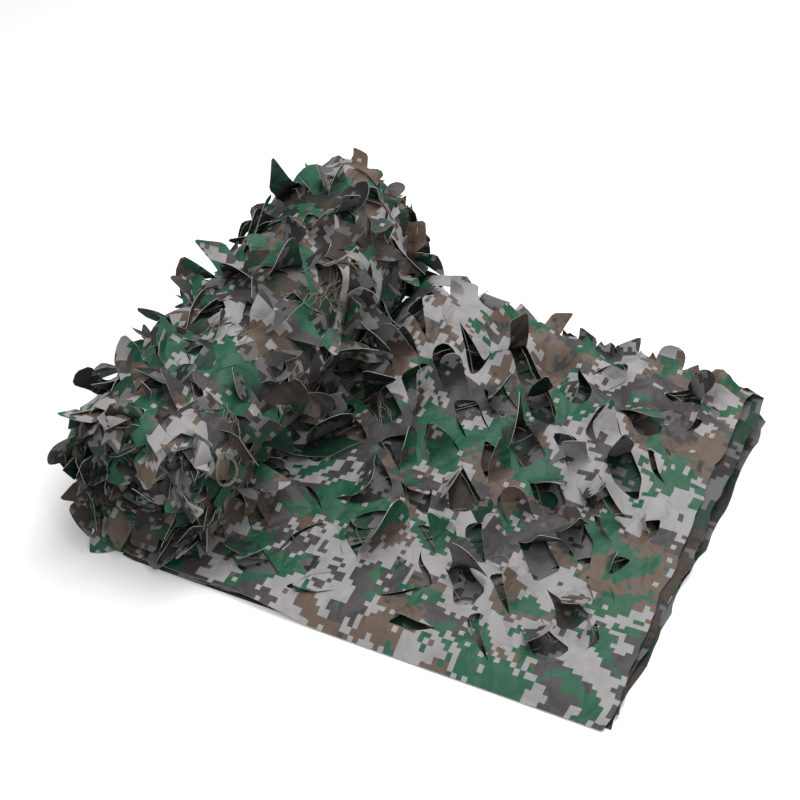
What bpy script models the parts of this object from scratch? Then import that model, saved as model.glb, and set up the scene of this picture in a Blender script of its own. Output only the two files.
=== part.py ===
"""Camouflage net, folded in four to a long strip and rolled up from one end.

The net is one rectangle of thin cloth, die cut all over with slits whose tongues curl out of the
surface. It is folded back and forth across its width into four layers, and the strip is then
rolled up, with the last half metre of it left lying flat beside the roll.

Metres, +Z up. +Y runs along the roll's axis, from the near end to the far one, and +X points
from the roll to the free end of the strip. The origin is the middle of the footprint. A place on
the strip is given as along, the distance from the free end, and across, the distance from the
near edge. A share is a part of the strip's width, 0 at the near edge and 1 at the far one.
"""

import math
import random

import bmesh
import bpy
from mathutils import Vector

# The net as it is cut
NET_LENGTH = 3.0
NET_WIDTH = 2.0
CLOTH = 0.0012
HEM = 0.025
TONGUE_LENGTH = 0.075
SIDE_TONGUE_LENGTH = 0.068
BRIDGE = 0.0125
CUT_ROWS = 2
CUT_COLUMNS = 12

# The strip and its roll
LAYERS = 4
STRIP_WIDTH = NET_WIDTH / LAYERS
TAIL_LENGTH = 0.522
ROLL_RADIUS = 0.104
TURN_PITCH = math.pi * ROLL_RADIUS ** 2 / (NET_LENGTH - TAIL_LENGTH)
LAYER_PITCH = TURN_PITCH / LAYERS
ROLL_SHIFT = 0.016
SHIFT_TURN = 1.5
OUTER_TURN = 2 * math.pi + 0.25
LUMPS = (
    # part of the radius, waves round the roll, waves along it, phase
    (0.035, 3, 9.0, 0.5),
    (0.025, 5, -14.0, 0.0),
    (0.030, 0, 12.0, math.pi / 2),
)

# How the flat end lies
NEAR_HEIGHT = 0.0118
FAR_HEIGHT = 0.050
MIDDLE_HEIGHT = 0.010
END_DROP = 0.45
END_LENGTH = 0.16
SWELL = 0.15
RIPPLE = 0.0025
ROLL_BLEND = 0.10
UNDER_ROLL = 0.06
SPREAD_LENGTH = 0.12
END_SPREAD = (0.026, 0.017, 0.010, 0.0)
COLUMN_WANDER = 0.007
ROW_WANDER = 0.012

# The folds of the section
PLAIN_COLUMNS = 3
FOLD_STEPS = 3
FOLD_BULGE = 0.006

# The wound core inside the outer turn
CORE_STEPS = 18
CORE_STEP = 2 * math.pi / CORE_STEPS
CORE_COLUMNS = 4
CORE_START = 2 * math.pi - CORE_STEP / 2
CORE_JOIN = 1.0
CORE_EYE = 0.016
CORE_EYE_DEPTH = 0.012
CORE_OVERLAP = 0.0004
CORE_INSET = 0.012
CORE_STAGGER = 0.008

# The tongues: shortest and longest as a part of the full length, how many are missing along the
# folded edges, and the widths from root to tip as a part of the hole's width
TONGUE_STEPS = 3
LENGTHS = (0.78, 0.97)
SIDE_TONGUES_MISSING = 0.25
TIP_WIDTHS = (
    # first, second, tip
    (0.94, 0.84, 0.14),
    (0.94, 0.92, 0.45),
    (0.94, 0.94, 0.84),
    (0.86, 0.90, 0.50),
)
SEED = 7


def smooth(low, high, value):
    """0 below low, 1 above high, and a smooth step between them."""
    share = min(1.0, max(0.0, (value - low) / (high - low)))
    return share * share * (3 - 2 * share)


def clear_scene():
    for obj in list(bpy.data.objects):
        bpy.data.objects.remove(obj, do_unlink=True)


class Roll:
    """The spiral that the strip follows, seen from its near end."""

    centre_x = -TAIL_LENGTH
    centre_z = ROLL_RADIUS

    @staticmethod
    def turned(along):
        """The angle that the strip has turned through at this distance from its free end."""
        return (along - TAIL_LENGTH) / ROLL_RADIUS

    @staticmethod
    def radius(turned):
        return ROLL_RADIUS - TURN_PITCH * turned / (2 * math.pi)

    @staticmethod
    def lump(turned, across):
        """How much wider than round the roll is in this direction, and 0 where it rests."""
        up = 0.5 - 0.5 * math.cos(turned)
        wave = sum(size * math.sin(round_waves * turned + long_waves * across + phase)
                   for size, round_waves, long_waves, phase in LUMPS)
        return smooth(0.03, 0.35, up) * wave

    @classmethod
    def point(cls, turned, depth, across):
        """A point this depth below the outer face of the strip, after turning by this angle."""
        reach = (cls.radius(turned) - depth) * (1 + cls.lump(turned, across))
        shift = ROLL_SHIFT * smooth(0, SHIFT_TURN, turned)
        x = cls.centre_x - reach * math.sin(turned)
        z = cls.centre_z - reach * math.cos(turned)
        return Vector((x, across + shift, z))


def pack_height(along, across):
    """Height of the top layer's middle face over the floor, on the flat end."""
    share = min(1, max(0, across / STRIP_WIDTH))
    far = smooth(0.30, 1.0, share)
    middle = math.sin(math.pi * share)
    end = END_DROP + (1 - END_DROP) * smooth(0.0, END_LENGTH, along)
    swell = 1 - SWELL + SWELL * math.sin(19 * along + 1)
    height = NEAR_HEIGHT + (FAR_HEIGHT - NEAR_HEIGHT) * far * end * swell
    height += MIDDLE_HEIGHT * middle * math.sin(math.pi * along / TAIL_LENGTH)
    height += RIPPLE * math.sin(23 * along + 31 * across) * middle
    low = TAIL_LENGTH - ROLL_BLEND - UNDER_ROLL
    pressed = smooth(low, low + ROLL_BLEND, along)
    rolled = CLOTH / 2 + (LAYERS - 1) * LAYER_PITCH
    return height + (rolled - height) * pressed


def strip_point(along, level, across, bulge=0.0):
    """A point of the cloth's middle surface. Level 0 is the layer that meets the floor."""
    if along >= TAIL_LENGTH:
        turned = Roll.turned(along)
        inset = CORE_INSET * smooth(OUTER_TURN - 0.5, OUTER_TURN, turned)
        inward = inset * (1 - 2 * across / STRIP_WIDTH)
        return Roll.point(turned, CLOTH / 2 + level * LAYER_PITCH, across + bulge + inward)
    base = CLOTH / 2
    height = base + (pack_height(along, across) - base) * level / (LAYERS - 1)
    spread = END_SPREAD[round(level)] * (0.25 + 0.75 * across / STRIP_WIDTH)
    free_end = 1 - smooth(0, SPREAD_LENGTH, along)
    return Vector((-along + spread * free_end, across + bulge, height))


def column_across(share, along):
    """Distance from the near edge of a column of points, which wanders a little."""
    wander = COLUMN_WANDER * math.sin(21 * along + 5 * share) * math.sin(math.pi * share)
    return STRIP_WIDTH * share + wander


def row_along(place, share):
    """Distance from the free end of a row of points, which wanders between its two ends."""
    held = smooth(0, 0.1, place) * (1 - smooth(OUTER_TURN - 0.8, OUTER_TURN, Roll.turned(place)))
    return place + ROW_WANDER * held * math.sin(8 * share + 13 * place)


def raised_point(along, level, across, height):
    """A point at a height out of the cloth, on the side that faces away from the pack."""
    step = 0.002
    here = strip_point(along, level, across)
    ahead = strip_point(along + step, level, across) - strip_point(along - step, level, across)
    side = strip_point(along, level, across + step) - strip_point(along, level, across - step)
    out = ahead.cross(side).normalized()
    if along < TAIL_LENGTH:
        away = Vector((0, 0, 1))
    else:
        away = here - Vector((Roll.centre_x, here.y, Roll.centre_z))
    if out.dot(away) < 0:
        out = -out
    return here + out * height


class Section:
    """The back-and-forth section across the strip: its columns of points, fold by fold."""

    def __init__(self):
        self.columns = []
        self.cut_columns = {}
        self.fine_only = {0: set(), LAYERS - 1: set()}
        for layer in range(LAYERS):
            away = layer % 2 == 0
            if layer:
                self.add_fold(layer, far=not away)
            self.add_layer(layer, away)

    def add_layer(self, layer, away):
        fine = layer in self.fine_only
        count = CUT_COLUMNS if fine else PLAIN_COLUMNS
        first = len(self.columns)
        for step in range(count + 1):
            share = step / count if away else 1 - step / count
            self.columns.append((layer, share, 0.0))
            if fine and step % (CUT_COLUMNS // PLAIN_COLUMNS):
                self.fine_only[layer].add(first + step)
        self.cut_columns[layer] = range(first, first + count)

    def add_fold(self, layer, far):
        """The half round between this layer and the one before it."""
        for step in range(1, FOLD_STEPS):
            turn = math.pi * step / FOLD_STEPS
            level = layer - 0.5 - 0.5 * math.cos(turn)
            bulge = FOLD_BULGE * math.sin(turn) * (1 if far else -1)
            self.columns.append((level, 1.0 if far else 0.0, bulge))


class Strip:
    """The rows and columns of points of the flat end and the roll's outer turn."""

    def __init__(self):
        self.section = Section()
        self.rows = [0.0, HEM]
        while Roll.turned(self.rows[-1]) < OUTER_TURN:
            start = self.rows[-1]
            self.rows += [start + TONGUE_LENGTH * (step + 1) / CUT_ROWS
                          for step in range(CUT_ROWS)]
            self.rows.append(self.rows[-1] + BRIDGE)

    def point(self, row, column):
        level, share, bulge = self.section.columns[column]
        along = row_along(self.rows[row], share)
        return strip_point(along, level, column_across(share, along), bulge)

    def used(self, row):
        """The columns that this row has points in. The layers that don't show have fewer."""
        hidden = set()
        if self.rows[row] < TAIL_LENGTH:
            hidden = self.section.fine_only[0]
        elif self.rows[row - 1] >= TAIL_LENGTH:
            hidden = self.section.fine_only[LAYERS - 1]
        return [column for column in range(len(self.section.columns)) if column not in hidden]

    def bands(self, low, high):
        """First rows of the tongues between two distances along the strip."""
        starts = range(1, len(self.rows) - CUT_ROWS, CUT_ROWS + 1)
        return [row for row in starts
                if low <= self.rows[row] and self.rows[row + CUT_ROWS] <= high]


class Tongue:
    """A tongue of the cloth, held at its root and curled out of the hole that it leaves."""

    def __init__(self, strip, row, column, forward, angles, length, widths):
        self.strip = strip
        self.row = row
        self.column = column
        self.forward = forward
        self.start_angle, self.curl = angles
        self.length = length
        self.widths = widths
        self.level, self.share, _ = strip.section.columns[column]
        self.next_share = strip.section.columns[column + 1][1]

    def steps(self, full_length):
        """(distance run in the cloth's surface, height over it, width) at each step."""
        reach = full_length * self.length / TONGUE_STEPS
        run = height = 0.0
        for step, width in enumerate(self.widths):
            angle = self.start_angle + self.curl * (step + 0.5) / TONGUE_STEPS
            height += reach * math.sin(angle)
            run += reach * math.cos(angle) * self.squeeze(height)
            yield run, height, width

    def squeeze(self, height):
        return 1.0


class LongTongue(Tongue):
    """A tongue that points along the strip, forwards or backwards."""

    def __init__(self, strip, row, column, forward, angles, length, widths):
        super().__init__(strip, row, column, forward, angles, length, widths)
        self.root_row = row if forward else row + CUT_ROWS

    def squeeze(self, height):
        """On the roll, a run along the outside takes more length than one in the cloth."""
        on_roll = self.strip.rows[self.root_row] > TAIL_LENGTH
        return ROLL_RADIUS / (ROLL_RADIUS + height) if on_roll else 1.0

    def cells(self):
        return [(self.row + step, self.column) for step in range(CUT_ROWS)]

    def root(self):
        return [(self.root_row, self.column), (self.root_row, self.column + 1)]

    def pairs(self):
        middle_share = (self.share + self.next_share) / 2
        start = row_along(self.strip.rows[self.root_row], middle_share)
        for run, height, width in self.steps(TONGUE_LENGTH):
            along = start + (run if self.forward else -run)
            left = column_across(self.share, along)
            right = column_across(self.next_share, along)
            middle, half = (left + right) / 2, (right - left) / 2 * width
            yield [raised_point(along, self.level, middle + side * half, height)
                   for side in (-1, 1)]


class SideTongue(Tongue):
    """A tongue that reaches across the strip and out past its folded edge."""

    def __init__(self, strip, row, column, forward, angles, length, widths):
        super().__init__(strip, row, column, forward, angles, length, widths)
        self.root_column = column if forward else column + 1

    def cells(self):
        return [(self.row, self.column)]

    def root(self):
        return [(self.row + 1, self.root_column), (self.row, self.root_column)]

    def pairs(self):
        root_share = self.share if self.forward else self.next_share
        outward = 1 if root_share > 0.5 else -1
        places = [row_along(self.strip.rows[self.row + step], root_share) for step in (1, 0)]
        middle, half = sum(places) / 2, (places[0] - places[1]) / 2
        start = column_across(root_share, middle)
        for run, height, width in self.steps(SIDE_TONGUE_LENGTH):
            across = start + outward * run
            yield [raised_point(middle + side * half * width, self.level, across, height)
                   for side in (1, -1)]


class Cuts:
    """Where one layer is cut, and how its tongues stand."""

    def __init__(self, strip, layer, low, high, group, inner, edges):
        self.strip = strip
        self.bands = strip.bands(low, high)
        columns = strip.section.cut_columns[layer]
        self.inner = columns[inner]
        self.edges = [columns[edge] for edge in edges]
        self.group = group

    def tongues(self, chance):
        """In each group of columns two tongues that point opposite ways, and the side tongues."""
        for band, row in enumerate(self.bands):
            for place, column in enumerate(self.inner):
                phase = (place + self.group // 2 * band) % self.group
                if phase < 2:
                    forward = (phase == 0) != (chance.random() < 0.2)
                    drawn = self.draw(chance, row, column)
                    yield LongTongue(self.strip, row, column, forward, *drawn)
            for column in self.edges:
                for step in (0, CUT_ROWS - 1):
                    if chance.random() < SIDE_TONGUES_MISSING:
                        continue
                    forward = column > self.inner[0]
                    drawn = self.draw(chance, row + step, column)
                    yield SideTongue(self.strip, row + step, column, forward, *drawn)

    def draw(self, chance, row, column):
        """(angles, part of the full length, widths) of one tongue."""
        angles = self.angles(chance, row, column)
        return angles, chance.uniform(*LENGTHS), chance.choice(TIP_WIDTHS)


class FlatCuts(Cuts):
    """The top layer of the flat end: tongues lie low at the near edge and rise at the far one."""

    def __init__(self, strip):
        super().__init__(strip, LAYERS - 1, HEM, TAIL_LENGTH - 0.1, 4, slice(2, -1), (0,))

    def angles(self, chance, row, column):
        loose = smooth(0.35, 1.0, self.strip.section.columns[column][1])
        start = chance.uniform(4, 8) + chance.uniform(2, 18) * loose
        curl = chance.uniform(-3, 8) + chance.uniform(-4, 34) * loose
        return math.radians(start), math.radians(curl)


class RollCuts(Cuts):
    """The outside of the roll: tongues stand off all round, and lie close near the floor."""

    def __init__(self, strip):
        low = TAIL_LENGTH + 0.55 * ROLL_RADIUS
        high = TAIL_LENGTH + (2 * math.pi - 0.85) * ROLL_RADIUS
        super().__init__(strip, 0, low, high, 3, slice(2, -2), (0, -1))

    def angles(self, chance, row, column):
        turned = Roll.turned(self.strip.rows[row + 1])
        loose = smooth(0.4, 1.3, min(turned, 2 * math.pi - turned))
        start = 2 + chance.uniform(2, 15) * loose
        curl = chance.uniform(5, 55) * loose
        return math.radians(start), math.radians(curl)


def cloth_mesh(strip, tongues):
    """The cloth's middle surface, with each tongue cut free on three sides."""
    mesh = bmesh.new()
    used = [strip.used(row) for row in range(len(strip.rows))]
    grid = [{column: mesh.verts.new(strip.point(row, column)) for column in columns}
            for row, columns in enumerate(used)]
    cut = {cell for tongue in tongues for cell in tongue.cells()}
    for row, (here, after) in enumerate(zip(used, used[1:])):
        shared = sorted(set(here) & set(after))
        for first, last in zip(shared, shared[1:]):
            if (row, first) in cut:
                continue
            ahead = [grid[row + 1][column] for column in after if first <= column <= last]
            back = [grid[row][column] for column in here if first <= column <= last]
            mesh.faces.new(ahead + back[::-1])
    for tongue in tongues:
        near = [grid[row][column] for row, column in tongue.root()]
        for pair in tongue.pairs():
            far = [mesh.verts.new(point) for point in pair]
            mesh.faces.new(far + near[::-1] if tongue.forward else near + far[::-1])
            near = far
    loose = [vert for vert in mesh.verts if not vert.link_faces]
    bmesh.ops.delete(mesh, geom=loose, context="VERTS")
    return mesh


def core_angles():
    """Angles of the wound core, from the end of the outer turn to the inner end of the net."""
    angles = [CORE_START]
    while Roll.radius(angles[-1]) > CORE_EYE:
        angles.append(angles[-1] + CORE_STEP)
    return angles


class Core:
    """The inner turns of the strip, wound tight, whose turns stand uneven at both ends.

    An end face is a spiral band, one turn's thickness wide, with a small step from each turn to
    the next one. The outer points of the band are on the turn itself, and its inner points are
    over the outer points of the next turn.
    """

    def __init__(self):
        self.mesh = bmesh.new()
        self.angles = core_angles()
        self.bands = len(self.angles) - CORE_STEPS - 1
        near, far = self.end_points(0), self.end_points(1)
        rings = [near[0]]
        for column in range(1, CORE_COLUMNS):
            share = column / CORE_COLUMNS
            rings.append([self.vert(angle, angle, share)
                          for angle in self.angles[:CORE_STEPS + 1]])
        rings.append(far[0])
        self.add_wall(rings, near[1][0], far[1][0])
        self.add_end(*near, 0)
        self.add_end(*far, 1)
        bmesh.ops.recalc_face_normals(self.mesh, faces=self.mesh.faces)

    def vert(self, angle, edge_angle, share):
        """A point on the outside of a turn, level with the end of the band at another angle."""
        held = 1 - smooth(CORE_JOIN / 2, CORE_JOIN * 1.5, angle - CORE_START)
        stagger = CORE_STAGGER * math.sin(1.7 * edge_angle) * (1 - 2 * share)
        across = STRIP_WIDTH * share + stagger
        return self.mesh.verts.new(Roll.point(angle, -CORE_OVERLAP * held, across))

    def end_points(self, share):
        """The outer and the inner points of the spiral band at one end."""
        outer = [self.vert(angle, angle, share) for angle in self.angles]
        pairs = zip(self.angles, self.angles[CORE_STEPS:])
        inner = [self.vert(within, angle, share) for angle, within in pairs]
        return outer, inner

    def add_wall(self, rings, near_step, far_step):
        """The outside of the outermost turn, and the step where that turn begins."""
        for first, second in zip(rings, rings[1:]):
            for here in range(CORE_STEPS):
                self.face(first[here], first[here + 1], second[here + 1], second[here])
            step = [first[0], second[0], second[CORE_STEPS], first[CORE_STEPS]]
            if second is rings[-1]:
                step.insert(2, far_step)
            if first is rings[0]:
                step.append(near_step)
            self.face(*step)

    def add_end(self, outer, inner, share):
        for here in range(self.bands):
            within = here + CORE_STEPS
            self.face(outer[here], outer[here + 1], inner[here + 1], inner[here])
            self.face(inner[here], inner[here + 1], outer[within + 1], outer[within])
        self.face(outer[self.bands], inner[-1], outer[-1])
        inward = CORE_EYE_DEPTH * (1 - 2 * share)
        eye_across = STRIP_WIDTH * share + ROLL_SHIFT + inward
        eye = self.mesh.verts.new((Roll.centre_x, eye_across, Roll.centre_z))
        last_turn = outer[self.bands:]
        for first, second in zip(last_turn, last_turn[1:] + last_turn[:1]):
            self.face(first, second, eye)

    def face(self, *points):
        self.mesh.faces.new(points)


def printed_cloth():
    material = bpy.data.materials.new("printed_cloth")
    material.use_nodes = True
    shader = material.node_tree.nodes["Principled BSDF"]
    shader.inputs["Base Color"].default_value = (0.24, 0.26, 0.23, 1)
    shader.inputs["Roughness"].default_value = 0.55
    shader.inputs["Metallic"].default_value = 0.0
    return material


def object_from(mesh, name):
    data = bpy.data.meshes.new(name)
    mesh.to_mesh(data)
    mesh.free()
    obj = bpy.data.objects.new(name, data)
    bpy.context.scene.collection.objects.link(obj)
    return obj


def put_on_origin(net, core):
    """Moves both meshes so that the finished net stands with its footprint on the origin."""
    bpy.context.view_layer.update()
    graph = bpy.context.evaluated_depsgraph_get()
    points = [vert.co for vert in net.evaluated_get(graph).to_mesh().vertices]
    low, high = ([pick(point[axis] for point in points) for axis in range(3)]
                 for pick in (min, max))
    shift = Vector((-(low[0] + high[0]) / 2, -(low[1] + high[1]) / 2, -low[2]))
    net.location = shift
    core.location = shift


def build():
    clear_scene()
    strip = Strip()
    chance = random.Random(SEED)
    tongues = [*FlatCuts(strip).tongues(chance), *RollCuts(strip).tongues(chance)]
    net = object_from(cloth_mesh(strip, tongues), "net_cloth")
    net.data.materials.append(printed_cloth())
    thickness = net.modifiers.new("cloth_thickness", "SOLIDIFY")
    thickness.thickness = CLOTH
    thickness.offset = 0
    core = object_from(Core().mesh, "wound_core")
    core.hide_render = True
    core.display_type = "WIRE"
    join = net.modifiers.new("join_wound_core", "BOOLEAN")
    join.operation = "UNION"
    join.object = core
    put_on_origin(net, core)


build()
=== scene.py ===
"""A camouflage net, folded in four and rolled up, with its printed, die-cut cloth and its threads.

The net is laid out flat first, with every cut in it, and then each of its points is carried over
to the folded and rolled strip. A place on the flat net is (along, over): along is the distance
from the free end, and over is the distance across the net from the edge that lies lowest. A
place on the strip is (along, level, across): level counts the layers up from the floor, and
across is the distance from the near edge. All sizes are in metres and all angles in radians.
"""

import logging
import math
from dataclasses import dataclass, field
from enum import Enum

import bpy
import numpy as np
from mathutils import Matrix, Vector
from mathutils.geometry import delaunay_2d_cdt


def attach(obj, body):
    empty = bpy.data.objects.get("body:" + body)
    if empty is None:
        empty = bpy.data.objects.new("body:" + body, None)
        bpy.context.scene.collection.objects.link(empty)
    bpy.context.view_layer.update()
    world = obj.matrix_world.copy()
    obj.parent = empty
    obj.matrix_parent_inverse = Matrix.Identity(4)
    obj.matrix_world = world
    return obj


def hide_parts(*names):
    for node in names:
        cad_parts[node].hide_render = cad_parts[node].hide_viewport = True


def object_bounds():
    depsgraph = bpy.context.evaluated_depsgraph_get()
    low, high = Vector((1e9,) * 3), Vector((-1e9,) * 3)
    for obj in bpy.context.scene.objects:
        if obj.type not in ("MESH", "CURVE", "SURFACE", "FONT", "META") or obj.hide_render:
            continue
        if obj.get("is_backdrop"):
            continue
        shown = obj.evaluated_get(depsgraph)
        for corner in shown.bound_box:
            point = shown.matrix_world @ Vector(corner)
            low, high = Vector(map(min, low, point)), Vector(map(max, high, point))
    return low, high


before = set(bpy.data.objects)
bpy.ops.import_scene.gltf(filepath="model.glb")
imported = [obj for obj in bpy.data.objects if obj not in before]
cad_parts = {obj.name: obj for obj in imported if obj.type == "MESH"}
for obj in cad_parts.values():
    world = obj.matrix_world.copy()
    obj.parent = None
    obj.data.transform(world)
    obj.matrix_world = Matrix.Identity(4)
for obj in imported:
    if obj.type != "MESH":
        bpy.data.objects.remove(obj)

LOG = logging.getLogger("camouflage_net")
BODY = "root"
TURN = 2 * math.pi

Array = np.ndarray


def smooth(low: float, high: float, value: Array) -> Array:
    """A smooth step.

    Args:
        low: Where the step starts.
        high: Where the step ends.
        value: The places to look at.

    Returns:
        0 below low, 1 above high, and a smooth rise between them.
    """
    share = np.clip((np.asarray(value, float) - low) / (high - low), 0.0, 1.0)
    return share * share * (3 - 2 * share)


def unit(vectors: Array) -> Array:
    """Each row of vectors at length 1."""
    return vectors / np.maximum(np.linalg.norm(vectors, axis=-1, keepdims=True), 1e-12)


def enclosed(places: Array, loop: Array) -> Array:
    """Whether each place lies inside a closed loop.

    Args:
        places: One flat row for each place.
        loop: The loop's corners.

    Returns:
        True or False for each place.
    """
    inside = np.zeros(len(places), bool)
    for first, second in zip(loop, np.roll(loop, -1, axis=0)):
        if first[1] == second[1]:
            continue
        between = (first[1] > places[:, 1]) != (second[1] > places[:, 1])
        share = (places[:, 1] - first[1]) / (second[1] - first[1])
        inside ^= between & (places[:, 0] < first[0] + share * (second[0] - first[0]))
    return inside


def new_object(name: str, mesh: bpy.types.Mesh) -> bpy.types.Object:
    """A new object of the scene with this mesh."""
    made = bpy.data.objects.new(name, mesh)
    bpy.context.scene.collection.objects.link(made)
    return made


def add_to_net(piece: bpy.types.Object, origin: tuple[float, float]) -> None:
    """Puts a piece where the net lies, and says what it is part of.

    Args:
        piece: The piece, in the strip's own frame.
        origin: Where the strip's own frame starts.
    """
    piece.location = (*origin, 0.0)
    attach(piece, BODY)
    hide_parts("net_cloth")


class Crumple:
    """A smooth uneven field, made of waves in many directions."""

    def __init__(self, seed: int, shortest: float, longest: float, waves: int = 14) -> None:
        """Draws the waves.

        Args:
            seed: Start of the random draws.
            shortest: Shortest wave.
            longest: Longest wave.
            waves: How many there are.
        """
        chance = np.random.default_rng(seed)
        lengths = np.exp(chance.uniform(math.log(shortest), math.log(longest), waves))
        headings = chance.uniform(0, 2 * math.pi, waves)
        self.rates = 2 * math.pi / lengths
        self.turns = np.stack([np.cos(headings), np.sin(headings)], axis=1)
        self.phases = chance.uniform(0, 2 * math.pi, waves)
        self.sizes = (lengths / longest) ** 0.7
        self.sizes /= math.sqrt(0.5 * float(np.sum(self.sizes ** 2)))

    def at(self, first: Array, second: Array) -> Array:
        """The field's value, mostly from -1 to 1.

        Args:
            first: First flat coordinates.
            second: Second flat coordinates.

        Returns:
            One value for each place.
        """
        total = np.zeros(np.shape(first))
        for rate, turn, phase, size in zip(self.rates, self.turns, self.phases, self.sizes):
            total += size * np.sin(rate * (first * turn[0] + second * turn[1]) + phase)
        return total * 0.6


@dataclass(frozen=True)
class NetSizes:
    """The net as it is cut, folded and rolled."""

    length: float = 3.0
    width: float = 2.0
    cloth: float = 0.0012
    layers: int = 4
    tail: float = 0.522
    radius: float = 0.104
    layer_pitch: float = 0.0025
    hem: float = 0.025
    origin: tuple[float, float] = (0.3174, -0.26285)

    @property
    def strip(self) -> float:
        """Width of the folded strip."""
        return self.width / self.layers

    @property
    def turn_pitch(self) -> float:
        """Thickness of one turn of the roll."""
        return self.layer_pitch * self.layers

    @property
    def outer_end(self) -> float:
        """Distance along the net at which the roll's outer turn ends, more or less."""
        return self.tail + (self.radius - self.turn_pitch) * 2 * math.pi


@dataclass(frozen=True)
class RollForm:
    """The spiral that the strip follows, and how uneven it is."""

    sizes: NetSizes
    shift: float = 0.016
    shift_turn: float = 1.5
    sunk: float = 0.011
    ruffle: float = 0.0085
    ragged: float = 0.011
    flare: float = 0.010
    droop: float = 0.013
    ripple: float = 0.0042
    inner_inset: float = 0.006
    far_reach: float = 0.009
    least_radius: float = 0.006
    most_turned: float = 70.0
    loose_turns: tuple[float, float] = (0.5, 6.0)
    creased_turns: tuple[float, float] = (5.4, 7.2)
    inset_turns: tuple[float, float] = (5.5, 9.0)
    far_droop: float = 0.2
    flare_zone: tuple[float, float] = (0.84, 1.04)
    droop_zone: tuple[float, float] = (0.86, 1.0)
    far_zone: tuple[float, float] = (0.4, 1.0)
    sunk_shares: tuple[float, float] = (1.25, -1.0)
    lumps: tuple[tuple[float, int, float, float], ...] = (
        (0.035, 3, 9.0, 0.5),
        (0.025, 5, -14.0, 0.0),
        (0.030, 0, 12.0, math.pi / 2),
    )

    def off_floor(self, angles: Array) -> Array:
        """0 where the roll rests on the floor, and 1 where it is well clear of it."""
        return smooth(0.03, 0.35, 0.5 - 0.5 * np.cos(angles))

    def turned(self, along: Array) -> Array:
        """The angle that the strip has turned through at this distance from its free end."""
        net = self.sizes
        angles = np.linspace(0, self.most_turned, 3000)
        up = self.off_floor(angles)
        middle = net.turn_pitch * (angles / TURN + 0.4)
        radii = np.maximum(net.radius - middle - self.sunk * up, self.least_radius)
        runs = np.concatenate([[0.0], np.cumsum((radii[1:] + radii[:-1]) / 2 * np.diff(angles))])
        return np.interp(along - net.tail, runs, angles)

    def point(self, along: Array, level: Array, across: Array, crumple: Crumple,
              creases: Crumple) -> Array:
        """Points of the rolled strip.

        Args:
            along: Distances from the free end.
            level: Layers, 0 outermost.
            across: Distances from the near edge.
            crumple: The field that ruffles the cloth.
            creases: The finer field that bends its ribbons.

        Returns:
            One row (x, y, z) for each point, in the strip's own frame.
        """
        net = self.sizes
        turned = self.turned(along)
        up = self.off_floor(turned)
        wave = sum(size * np.sin(round_waves * turned + long_waves * across + phase)
                   for size, round_waves, long_waves, phase in self.lumps)
        outer = net.turn_pitch * turned / TURN
        depth = outer + net.cloth / 2 + level * net.layer_pitch
        inner = smooth(0.4, 1.0, depth / net.layer_pitch - 0.2)
        near_share, per_width = self.sunk_shares
        taper = near_share + per_width * (across / net.strip)
        depth = depth + self.sunk * inner * up * (1 - depth / net.radius) * taper
        loose = up * (1 - smooth(*self.loose_turns, turned))
        depth = depth + self.ruffle * loose * (0.7 + crumple.at(along, across + 0.7 * level))
        bent = up * (1 - smooth(*self.creased_turns, turned))
        depth = depth + self.ripple * bent * creases.at(along + 0.3 * level, across)
        side = 2 * across / net.strip - 1
        edge = smooth(*self.flare_zone, np.abs(side))
        depth = depth + self.flare * up * edge * crumple.at(1.6 * along, level + side)
        reach = np.maximum((net.radius - depth) * (1 + up * wave), self.least_radius)
        spread = self.ragged * up * (np.sin(1.7 * turned + 2.1 * level + 3 * side)
                                     + crumple.at(1.3 * along, 3 * level + side))
        inset = self.inner_inset * smooth(*self.inset_turns, turned)
        place = across + (spread - inset) * np.abs(side) ** 3 * np.sign(side)
        shift = self.shift * smooth(0, self.shift_turn, turned)
        shift = shift + self.far_reach * up * smooth(*self.far_zone, side)
        droop = self.droop * up * smooth(*self.droop_zone, np.abs(side))
        droop = droop * np.where(side > 0, self.far_droop, 1.0)
        droop = droop * (0.7 + 0.8 * crumple.at(2.2 * along, 5 * level + side))
        return np.stack([
            -net.tail - reach * np.sin(turned),
            place + shift,
            net.radius - reach * np.cos(turned) - droop,
        ], axis=-1)


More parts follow.
